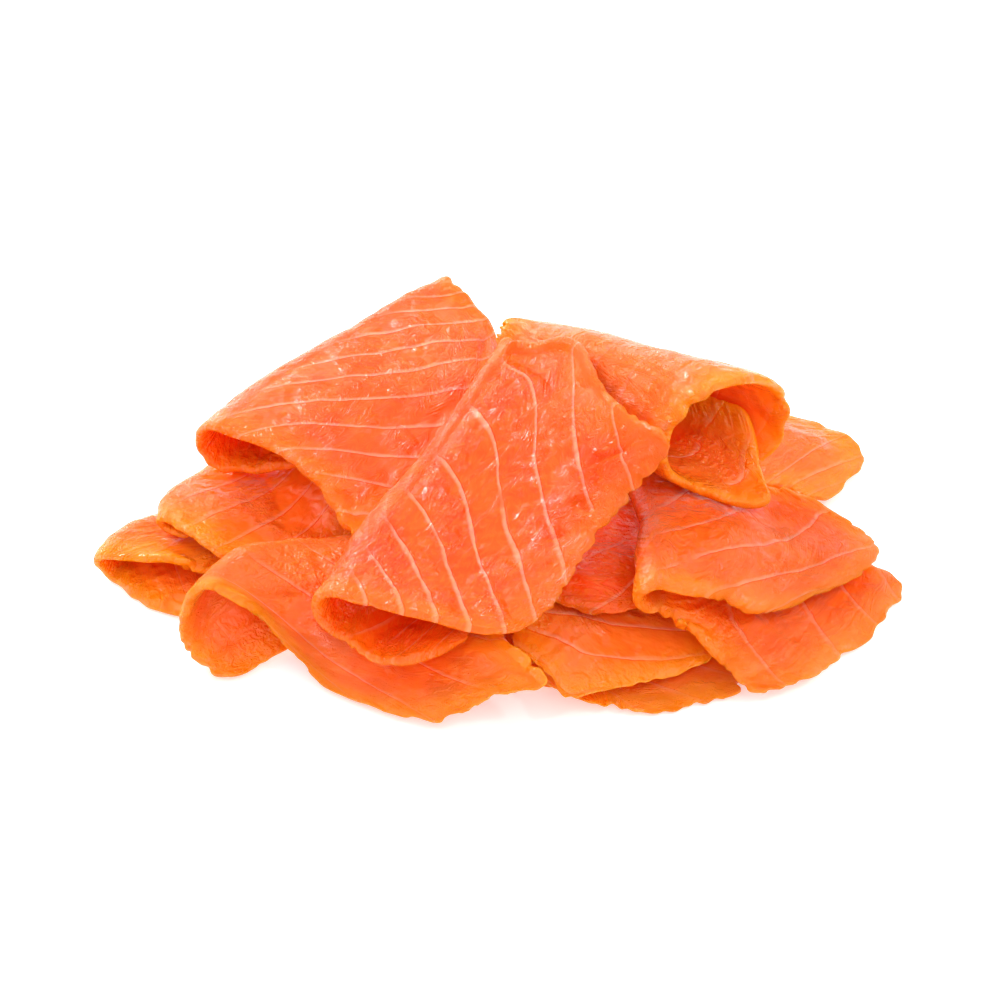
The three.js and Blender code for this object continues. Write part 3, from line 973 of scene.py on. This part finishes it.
def stretched(across, on_way, scales):
    """Coordinates for a noise that is stretched along the fat lines."""
    x, y = calc(fat_lines, "MULTIPLY", across, scales[0]), calc(fat_lines, "MULTIPLY", on_way, scales[1])
    return add(fat_lines, "CombineXYZ", {"X": x, "Y": y, "Z": given["Seed"]}).outputs[0]


slow = stretched(given["Count"], given["Way"], WANDER_SCALES)
wander = calc(fat_lines, "SUBTRACT", noise(fat_lines, slow, WANDER_FINE), 0.5)
quick = stretched(given["Count"], given["Way"], JITTER_SCALES)
jitter = calc(fat_lines, "SUBTRACT", noise(fat_lines, quick, 1.0), 0.5)
count = calc(fat_lines, "MULTIPLY_ADD", jitter, JITTER_BY, given["Count"])
count = calc(fat_lines, "MULTIPLY_ADD", wander, WANDER_BY, count)
line_number = calc(fat_lines, "ROUND", count)
beside = calc(fat_lines, "SUBTRACT", count, line_number)
beside = calc(fat_lines, "MULTIPLY", beside, given["Spacing"])

# %% A line with its groove
# Places beside the line are in widths of the line. Scales that aren't whole numbers give each line noise of
# its own.
SWELL_SCALES, THINNEST, THICKEST = (7.3, 0.09), 0.75, 1.2
GAP_SCALES, GAP_FINE = (3.7, 0.035), 1.3
SOFT_FROM = -1.5
SHARP_FROM, SHARP_TO = 0.35, 0.7
GROOVE_AT, GROOVE_HALF = 0.75, 0.3

own = stretched(line_number, given["Way"], SWELL_SCALES)
swell = ramp(fat_lines, noise(fat_lines, own, 1.0), 0.3, 0.7, THINNEST, THICKEST)
wide = calc(fat_lines, "MULTIPLY", swell, given["Width"])
beside_share = calc(fat_lines, "DIVIDE", beside, wide)
soft_side = ramp(fat_lines, beside_share, SOFT_FROM, 0.0)
sharp_side = ramp(fat_lines, beside_share, SHARP_FROM, SHARP_TO, 1.0, 0.0)
other = stretched(line_number, given["Way"], GAP_SCALES)
there = ramp(fat_lines, noise(fat_lines, other, GAP_FINE, 1.0), 0.28, 0.42)
there = calc(fat_lines, "MULTIPLY", there, given["Strength"])
line = calc(fat_lines, "MULTIPLY", calc(fat_lines, "MULTIPLY", soft_side, sharp_side), there)

groove_side = calc(fat_lines, "ABSOLUTE", calc(fat_lines, "SUBTRACT", beside_share, GROOVE_AT))
groove = ramp(fat_lines, groove_side, 0.0, GROOVE_HALF, 1.0, 0.0)
groove = calc(fat_lines, "MULTIPLY", groove, there)

# %% Fibres and creases, aslant to the lines
SLANT = 0.55
FIBRE_SCALES = (1.3, 0.22)
CREASE_SCALES = (0.6, 0.17)

across_mm = calc(fat_lines, "MULTIPLY", count, given["Spacing"])
over = calc(fat_lines, "MULTIPLY_ADD", given["Way"], -SLANT, across_mm)
on = calc(fat_lines, "MULTIPLY_ADD", across_mm, SLANT, given["Way"])
fibre = noise(fat_lines, stretched(over, on, FIBRE_SCALES), 1.0, 3.0, 0.6)
crease = noise(fat_lines, stretched(over, on, CREASE_SCALES), 1.0, 2.0)
give(fat_lines, {"Line": line, "Groove": groove, "Fibre": fibre, "Crease": crease})

# %% [markdown]
# ### Colour of the flesh
#
# Salmon flesh is a warm orange that light enters deeply. The base colour only has to be the colour of a thin
# layer; the depth comes from subsurface scattering. The fat is paler and pinker, and slow clouds keep the
# flesh from being even. Some light is painted into the colour too: the glow of light through a thin cut edge
# is a yellower band, the groove beside each fat line is darkened as painted shade, and the warmth of a slice
# mixes in a yellower, paler orange that is partly its own tone and partly a painted sheen. Red stays close to
# 1, because a little less of it at each bounce would turn the deep folds brown.

# %% The flesh colour group
FLESH = (0.985, 0.09, 0.003, 1)
# A deeper orange: the random clouds use it as the flesh's own tone, and the grooves beside the fat lines as
# painted shade
FLESH_DEEP_AND_GROOVE_SHADE = (0.98, 0.05, 0.001, 1)
# A yellower, paler orange: partly the slice's own tone, partly a painted sheen
FLESH_WARM_AND_SHEEN = (0.985, 0.2, 0.02, 1)
FLESH_LIGHT = (0.98, 0.17, 0.012, 1)
FAT = (0.98, 0.36, 0.22, 1)
# Painted glow: the yellower colour of light through a thin cut edge, how far in from the cut it reaches in
# millimetres, and its least and added strength
PAINTED_RIM_GLOW = (0.985, 0.26, 0.002, 1)
PAINTED_GLOW_REACH = 11
PAINTED_GLOW_LEAST, PAINTED_GLOW_MORE = 0.2, 0.8
FIBRE_PALE = 0.45
GROOVE_PAINTED_SHADE = 0.7
CLOUD_SCALE = 0.07

flesh_colour, given = new_group(
    "Flesh colour",
    [
        ("Place", "Vector", (0, 0, 0)),
        ("Line", "Float", 0),
        ("Groove", "Float", 0),
        ("Fibre", "Float", 0.5),
        ("From cut", "Float", 9),
        ("Fat", "Float", 0.8),
        ("Warmth, sheen and glow", "Float", 0.3),
    ],
    [("Color", "Color")],
)
clouds = ramp(flesh_colour, noise(flesh_colour, given["Place"], CLOUD_SCALE, 3.0), 0.35, 0.65)
colour = mix(flesh_colour, clouds, FLESH_DEEP_AND_GROOVE_SHADE, FLESH)
# Painted sheen: the warmth value mixes in a yellower, paler orange, partly the slice's own tone and partly
# sheen painted into the colour
colour = mix(flesh_colour, given["Warmth, sheen and glow"], colour, FLESH_WARM_AND_SHEEN)
fibres = ramp(flesh_colour, given["Fibre"], 0.4, 0.7, 0.0, FIBRE_PALE)
colour = mix(flesh_colour, fibres, colour, FLESH_LIGHT)
colour = mix(flesh_colour, calc(flesh_colour, "MULTIPLY", given["Line"], given["Fat"]), colour, FAT)
# Painted shade: the groove beside each fat line is darkened in the colour as well as lowered by the bump
colour = mix(flesh_colour, calc(flesh_colour, "MULTIPLY", given["Groove"], GROOVE_PAINTED_SHADE), colour, FLESH_DEEP_AND_GROOVE_SHADE)
# Painted glow: light through a thin cut edge is painted as a yellower colour near the cut, stronger on warmer
# slices
painted_glow = calc(flesh_colour, "MULTIPLY_ADD", given["Warmth, sheen and glow"], PAINTED_GLOW_MORE, PAINTED_GLOW_LEAST)
near_rim = ramp(flesh_colour, given["From cut"], 0.0, PAINTED_GLOW_REACH, 1.0, 0.0)
colour = mix(flesh_colour, calc(flesh_colour, "MULTIPLY", painted_glow, near_rim), colour, PAINTED_RIM_GLOW)
give(flesh_colour, {"Color": colour})

# %% [markdown]
# ### Wet skin
#
# The surface is moist, so it shines, but it isn't a mirror. Fat lines stand up a little, the grooves beside
# them are low, fibres give a fine grain, and patches of crinkles break the shine into glitter. They are too
# fine to build as geometry, so they are heights for one Bump node, and the skin stays smooth under them.

# %% The wet skin group
# Heights in millimetres, and for the crinkles also how much more of them a crinkled patch has.
LINE_UP, GROOVE_DOWN, FIBRE_UP, SWELL_UP = 0.1, 0.15, 0.08, 0.65
CREASE_UP, CREASE_MORE = 0.28, 1.2
PIT_UP, PIT_MORE = 0.06, 0.6
PATCH_SCALE, SWELL_SCALE, PIT_SCALE = 0.09, 0.3, 1.1
WETTEST, DRIEST = 0.1, 0.2

wet_skin, given = new_group(
    "Wet skin",
    [
        ("Place", "Vector", (0, 0, 0)),
        ("Line", "Float", 0),
        ("Groove", "Float", 0),
        ("Fibre", "Float", 0.5),
        ("Crease", "Float", 0.5),
        ("Crinkles", "Float", 1),
        ("Crinkled", "Float", 0),
    ],
    [("Height", "Float"), ("Roughness", "Float")],
)
patches = ramp(wet_skin, noise(wet_skin, given["Place"], PATCH_SCALE, 2.0), 0.42, 0.62)
patches = calc(wet_skin, "MAXIMUM", patches, given["Crinkled"])
amount = calc(wet_skin, "MULTIPLY", patches, given["Crinkles"])
coarse = noise(wet_skin, given["Place"], SWELL_SCALE, 1.0)
creased = calc(wet_skin, "MULTIPLY_ADD", amount, CREASE_MORE, CREASE_UP)
pits = noise(wet_skin, given["Place"], PIT_SCALE, 2.0)
pitted = calc(wet_skin, "MULTIPLY_ADD", amount, PIT_MORE, PIT_UP)

height = calc(wet_skin, "MULTIPLY", given["Line"], LINE_UP)
relief = [
    (given["Groove"], -GROOVE_DOWN),
    (given["Fibre"], FIBRE_UP),
    (coarse, SWELL_UP),
    (given["Crease"], creased),
    (pits, pitted),
]
for value, share in relief:
    height = calc(wet_skin, "MULTIPLY_ADD", value, share, height)
dryness = noise(wet_skin, given["Place"], SWELL_SCALE, 2.0)
roughness = ramp(wet_skin, dryness, 0.35, 0.65, WETTEST, DRIEST)
give(wet_skin, {"Height": height, "Roughness": roughness})

# %% [markdown]
# ### One material for each slice
#
# The slices come from different places of the side, so their fat lines differ in spacing and strength. Each
# slice gets its own copy of the material with its own values, built by one function. Light goes furthest
# through the flesh in red and hardly at all in blue, which is why the flesh looks deep and not painted.

# %% The material of a slice
SCATTER = 0.006
SCATTER_BY_COLOUR = (0.6, 0.26, 0.06)
BUMP_STRENGTH = 1.0


def named_value(tree, name):
    return add(tree, "Attribute", attribute_name=name).outputs["Fac"]


def flesh_material(name, seed, finish):
    material = bpy.data.materials.new(name)
    material.use_nodes = True
    tree = material.node_tree
    tree.nodes.clear()
    grain = add(tree, "SeparateXYZ", {"Vector": add(tree, "UVMap", uv_map="grain").outputs[0]})
    at_point = add(tree, "TexCoord").outputs["Object"]
    place = add(tree, "VectorMath", {"Vector": at_point, "Scale": 1 / MM}, operation="SCALE").outputs[0]

    inputs = {
        "Count": grain.outputs["X"],
        "Way": grain.outputs["Y"],
        "Spacing": named_value(tree, "spacing"),
        "Strength": named_value(tree, "fat"),
        "Width": finish["width"],
        "Seed": seed,
    }
    lines = add(tree, "Group", inputs, node_tree=fat_lines)
    shared = {key: lines.outputs[key] for key in ("Line", "Groove", "Fibre")} | {"Place": place}
    inputs = {
        "From cut": named_value(tree, "from_cut"),
        "Fat": finish["fat"],
        "Warmth, sheen and glow": finish["warmth_sheen_glow"],
    }
    colour = add(tree, "Group", shared | inputs, node_tree=flesh_colour)
    inputs = {
        "Crease": lines.outputs["Crease"],
        "Crinkled": named_value(tree, "crinkled"),
        "Crinkles": finish["crinkles"],
    }
    skin = add(tree, "Group", shared | inputs, node_tree=wet_skin)

    bump = add(tree, "Bump", {"Strength": BUMP_STRENGTH, "Distance": MM, "Height": skin.outputs["Height"]})
    inputs = {
        "Base Color": colour.outputs["Color"],
        "Roughness": skin.outputs["Roughness"],
        "Normal": bump.outputs["Normal"],
        "Subsurface Weight": 1.0,
        "Subsurface Radius": SCATTER_BY_COLOUR,
        "Subsurface Scale": SCATTER,
        "Specular IOR Level": 0.4,
        "IOR": 1.45,
    }
    shader = add(tree, "BsdfPrincipled", inputs)
    add(tree, "OutputMaterial", {"Surface": shader.outputs["BSDF"]})
    return material


# %% [markdown]
# ## The grain of each slice
#
# The fat lines run along the folded slice like the lines on a sheet of paper that was drawn on before it was
# folded. For each slice we count them at its near and its far end: first along the lower free edge, then
# along the fold, then along the upper free edge. In between the count changes smoothly.

# %% Fat lines counted over each slice
GRAIN = {
    "slice_bottom": [(0, 0.5), (1.5, 2), (3, 3)],
    "slice_back": [(0, 0.5), (5, 5.5), (10, 11)],
    "slice_far_left": [(-3.5, -5.5), (-0.5, -1.5), (2.5, 2)],
    "slice_back_right": [(-7, -2), (-2, -1), (4, -0.5)],
    "slice_front_right": [(-11.5, -8.5), (-5, -4), (1.5, 0.5)],
    "slice_back_upper": [(0, 1), (5, 6), (10, 11.5)],
    "slice_left": [(-8.5, -8), (-2, -3), (5, 2.5)],
    "slice_front_left": [(4, -0.5), (4.5, 0), (5.5, 2.5)],
    "slice_middle_right": [(-8.5, -3.5), (-3.5, 0), (1.5, 3)],
    "slice_right": [(1.5, 5.5), (2.5, -1), (5.5, 3)],
    "slice_back_left": [(-5.5, -14.5), (3, -4), (10, 3)],
    "slice_rolled": [(-0.5, 4.5), (-2, 4), (-3, 3.5)],
    "slice_top": [(-10, -4), (-4, 3.5), (3, 8)],
}
SPACING_LIMITS = 2, 30


def grain_of(table, at):
    """The count of the fat lines with the way along them in millimetres, and the space between lines."""
    count = over_table(table, (at.u + 1) / 3, at.v)
    up_s = np.gradient(count, axis=0) / np.gradient(at.s, axis=0)
    up_t = (np.gradient(count, axis=1) - up_s * np.gradient(at.s, axis=1)) / np.gradient(at.t, axis=1)
    a, b = up_s.mean(), up_t.mean()
    way = (a * at.t - b * at.s) / math.hypot(a, b)
    return np.stack([count, way], axis=-1), np.clip(1 / np.hypot(up_s, up_t), *SPACING_LIMITS)


# %% [markdown]
# ## The finish of each slice
#
# On some slices the pale lines stand out, and on others they hardly show. Skin that is bent or lies near a
# cut crinkles most, and the fat lines fade where the fold stretches them. So each slice has its own widths
# and strengths, and a few more strokes say where it is crinkled.

# %% Values of each slice
# The warmth value: how much yellower and paler a slice is, partly its own tone and partly a painted sheen; it
# also strengthens the painted glow at its cut edges
FINISH = {
    "slice_bottom": dict(width=0.6, fat=0.5, fat_below=0.5, crinkles=0.6, warmth_sheen_glow=0.6),
    "slice_back": dict(width=0.6, fat=0.8, fat_below=0.5, crinkles=0.8, warmth_sheen_glow=0.3),
    "slice_far_left": dict(width=0.55, fat=0.3, fat_below=0.6, crinkles=1.2, warmth_sheen_glow=0.8),
    "slice_back_right": dict(width=0.55, fat=0.4, fat_below=0.5, crinkles=0.8, warmth_sheen_glow=0.6),
    "slice_front_right": dict(width=0.5, fat=0.45, fat_below=0.6, crinkles=0.8, warmth_sheen_glow=0.6),
    "slice_back_upper": dict(width=0.6, fat=0.8, fat_below=0.5, crinkles=0.8, warmth_sheen_glow=0.3),
    "slice_left": dict(width=0.6, fat=0.35, fat_below=0.5, crinkles=1.2, warmth_sheen_glow=0.65),
    "slice_front_left": dict(width=0.55, fat=0.35, fat_below=0.3, crinkles=1.1, warmth_sheen_glow=0.65),
    "slice_middle_right": dict(width=0.55, fat=0.35, fat_below=0.5, crinkles=1.2, warmth_sheen_glow=0),
    "slice_right": dict(width=0.6, fat=0.5, fat_below=0.7, crinkles=0.9, warmth_sheen_glow=0.4),
    "slice_back_left": dict(width=0.55, fat=0.7, fat_below=0.3, crinkles=1, warmth_sheen_glow=0.3),
    "slice_rolled": dict(width=0.6, fat=0.45, fat_below=0.3, crinkles=1.2, warmth_sheen_glow=0.7),
    "slice_top": dict(width=0.5, fat=0.75, fat_below=0.3, crinkles=1, warmth_sheen_glow=0.15),
}
CRINKLED = {
    "slice_top": [
        ((1.2, 1), (1.6, 0.93), 5, 1),
        ((1.75, 0.85), (1.85, 0.6), 4, 1),
        ((1.95, 0.4), (1.95, 0.1), 4, 0.7),
    ],
    "slice_back_left": [((1.65, 0.7), (1.9, 0.9), 7, 1), ((1.2, 0.05), (1.6, 0.05), 2, 0.8)],
    "slice_right": [
        ((1.04, 0.1), (1.04, 0.6), 6, 1),
        ((-0.15, 0.12), (-0.6, 0.15), 6, 1),
        ((1.2, 0.65), (1.2, 0.65), 7, 0.7),
    ],
    "slice_middle_right": [((1.6, 0.35), (1.4, 0.8), 12, 1)],
    "slice_rolled": [((0, 0.3), (0.1, 0.6), 10, 1), ((0.3, 0.2), (0.3, 0.4), 6, 0.7)],
    "slice_left": [((1.1, 0.1), (1.1, 0.5), 5, 1), ((1.2, 0.05), (1.6, 0.05), 4, 1)],
    "slice_far_left": [((1, 0.1), (1.2, 0.7), 5, 1)],
    "slice_front_left": [((-0.5, 0.2), (-0.6, 0.5), 6, 1)],
}

# %% Where the skin is crinkled and the fat lines are strong, with distances in millimetres
FOLD_SIDE = 0.2
CRINKLED_BEND = 0.7
FADED_BEND = 0.8
CRINKLED_RIM = 0.7
RIM_FULL, RIM_FADE = 2.4, 6
RIM_START, RIM_LEAST = 2, 0.1


def bending(name, u):
    """1 on the half turn of a fold, down to 0 just beside it."""
    if "fold" not in SLICES[name]:
        return np.zeros_like(u)
    from_middle = 2 * np.abs(u - 0.5)
    return np.clip((1 + FOLD_SIDE - from_middle) / FOLD_SIDE, 0, 1)


def skin_values(name, at, spacing):
    """The values over a slice that its material reads by name."""
    bend = bending(name, at.u)
    from_cut = np.minimum(at.from_edge, at.from_end)
    rim = CRINKLED_RIM * np.clip(1 + (RIM_FULL - at.from_edge) / RIM_FADE, 0, 1)
    rim = rim * np.clip(from_cut / RIM_START, RIM_LEAST, 1)
    crinkled = np.maximum.reduce([CRINKLED_BEND * bend, rim, marks(CRINKLED.get(name, ()), at)])
    fat = np.where(at.u < 0.5, FINISH[name]["fat_below"], 1) * (1 - FADED_BEND * bend)
    return {"from_cut": from_cut, "spacing": spacing, "crinkled": crinkled, "fat": fat}


# %% [markdown]
# ## The pieces
#
# Now everything comes together. Each slice draws its random values from a seed of its own, so a new cut on
# one leaves the cuts of the others as they are. The heap moves as one, so each slice rides on the root. It
# takes the place of its plain solid.

# %% Build the slices
SEED_STEP = 3.7
for number, name in enumerate(SLICES):
    rng = np.random.default_rng(number + 1)
    sheet, at = fine_sheet(points_of[name], rng, **REACH.get(name, {}))
    sheet, outer = shape_sheet(name, sheet, at, rng)
    faces = two_faces(name, sheet, outer, at, rng)
    grain, spacing = grain_of(GRAIN[name], at)
    piece = closed_mesh(name + "_flesh", *faces, grain, skin_values(name, at, spacing))
    piece.data.materials.append(flesh_material(name + "_flesh", number * SEED_STEP, FINISH[name]))
    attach(piece, "root")
    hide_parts(name)
    print(f"{name}: {len(piece.data.polygons) * 2} triangles")

# %% [markdown]
# ## The table
#
# The heap lies on a white table without any edge in sight. One large square is enough. It gives a little
# light of its own, so that it stays white in the shade of the heap without more light on the slices.

# %% The table
FLOOR_HALF = 2.0
WHITE = (1, 1, 1, 1)
PAPER = {
    "Base Color": (0.9, 0.9, 0.9, 1),
    "Roughness": 0.8,
    "Emission Color": WHITE,
    "Emission Strength": 0.35,
}
floor_mesh = bpy.data.meshes.new("floor")
corner_points = [(x * FLOOR_HALF, y * FLOOR_HALF, 0) for x, y in ((-1, -1), (1, -1), (1, 1), (-1, 1))]
floor_mesh.from_pydata(corner_points, [], [(0, 1, 2, 3)])
floor = bpy.data.objects.new("floor", floor_mesh)
bpy.context.scene.collection.objects.link(floor)
paper = bpy.data.materials.new("paper")
paper.use_nodes = True
for key, value in PAPER.items():
    paper.node_tree.nodes["Principled BSDF"].inputs[key].default_value = value
floor_mesh.materials.append(paper)
print("table, in metres:", 2 * FLOOR_HALF)

# %% [markdown]
# ## The light
#
# Wet flesh shows its form by the shine on it and its depth by the light in it. A white world gives the
# even light. The lights stand mostly behind the heap, because a moist skin shines towards you where light
# comes from the far side. Small bright ones make the crisp glints, and large weak ones the soft sheen.

# %% The world and the lights: place in metres, size in metres, brightness
WORLD_STRENGTH = 0.85
world = bpy.data.worlds.new("studio")
bpy.context.scene.world = world
world.use_nodes = True
world.node_tree.nodes["Background"].inputs["Color"].default_value = WHITE
world.node_tree.nodes["Background"].inputs["Strength"].default_value = WORLD_STRENGTH
bpy.context.scene.view_settings.view_transform = "Standard"


def soft_box(name, place, size, brightness):
    """A square light of an even brightness that faces the heap."""
    light = bpy.data.lights.new(name, "AREA")
    light.size = size
    light.energy = brightness * math.pi * size**2
    lamp = bpy.data.objects.new(name, light)
    lamp.location = place
    lamp.rotation_euler = (-Vector(place)).to_track_quat("-Z", "Y").to_euler()
    bpy.context.scene.collection.objects.link(lamp)
    print(f"{name}: {light.energy:.2f} W")


soft_box("back", (-0.2, 0.63, 0.6), 0.5, 2)
soft_box("back_left", (-0.48, 0.6, 0.42), 0.25, 26)
soft_box("left", (-0.75, 0.25, 0.55), 0.6, 2.5)
soft_box("over_camera", (0.1, -0.6, 0.75), 0.8, 1.2)
soft_box("right", (0.7, 0.1, 0.45), 0.25, 6)
soft_box("spark_right", (0.5, -0.2, 0.7), 0.08, 50)

# %% [markdown]
# ## The camera
#
# We look down at the heap as somebody does who sits at the table. A long lens from 0.6 m keeps the near
# slices from looming over the far ones.

# %% The camera
AIM_HEIGHT = 15
ELEVATION = math.radians(42)
DISTANCE = 0.6
LENS = 90
aim = (to_frame + AIM_HEIGHT * UPWARDS) * MM
back, up = DISTANCE * math.cos(ELEVATION), DISTANCE * math.sin(ELEVATION)
camera = bpy.data.cameras.new("camera")
camera.lens = LENS
viewer = bpy.data.objects.new("camera", camera)
viewer.location = (aim[0], aim[1] - back, aim[2] + up)
viewer.rotation_euler = (math.pi / 2 - ELEVATION, 0, 0)
bpy.context.scene.collection.objects.link(viewer)
bpy.context.scene.camera = viewer
print("camera at:", [round(x, 3) for x in viewer.location])
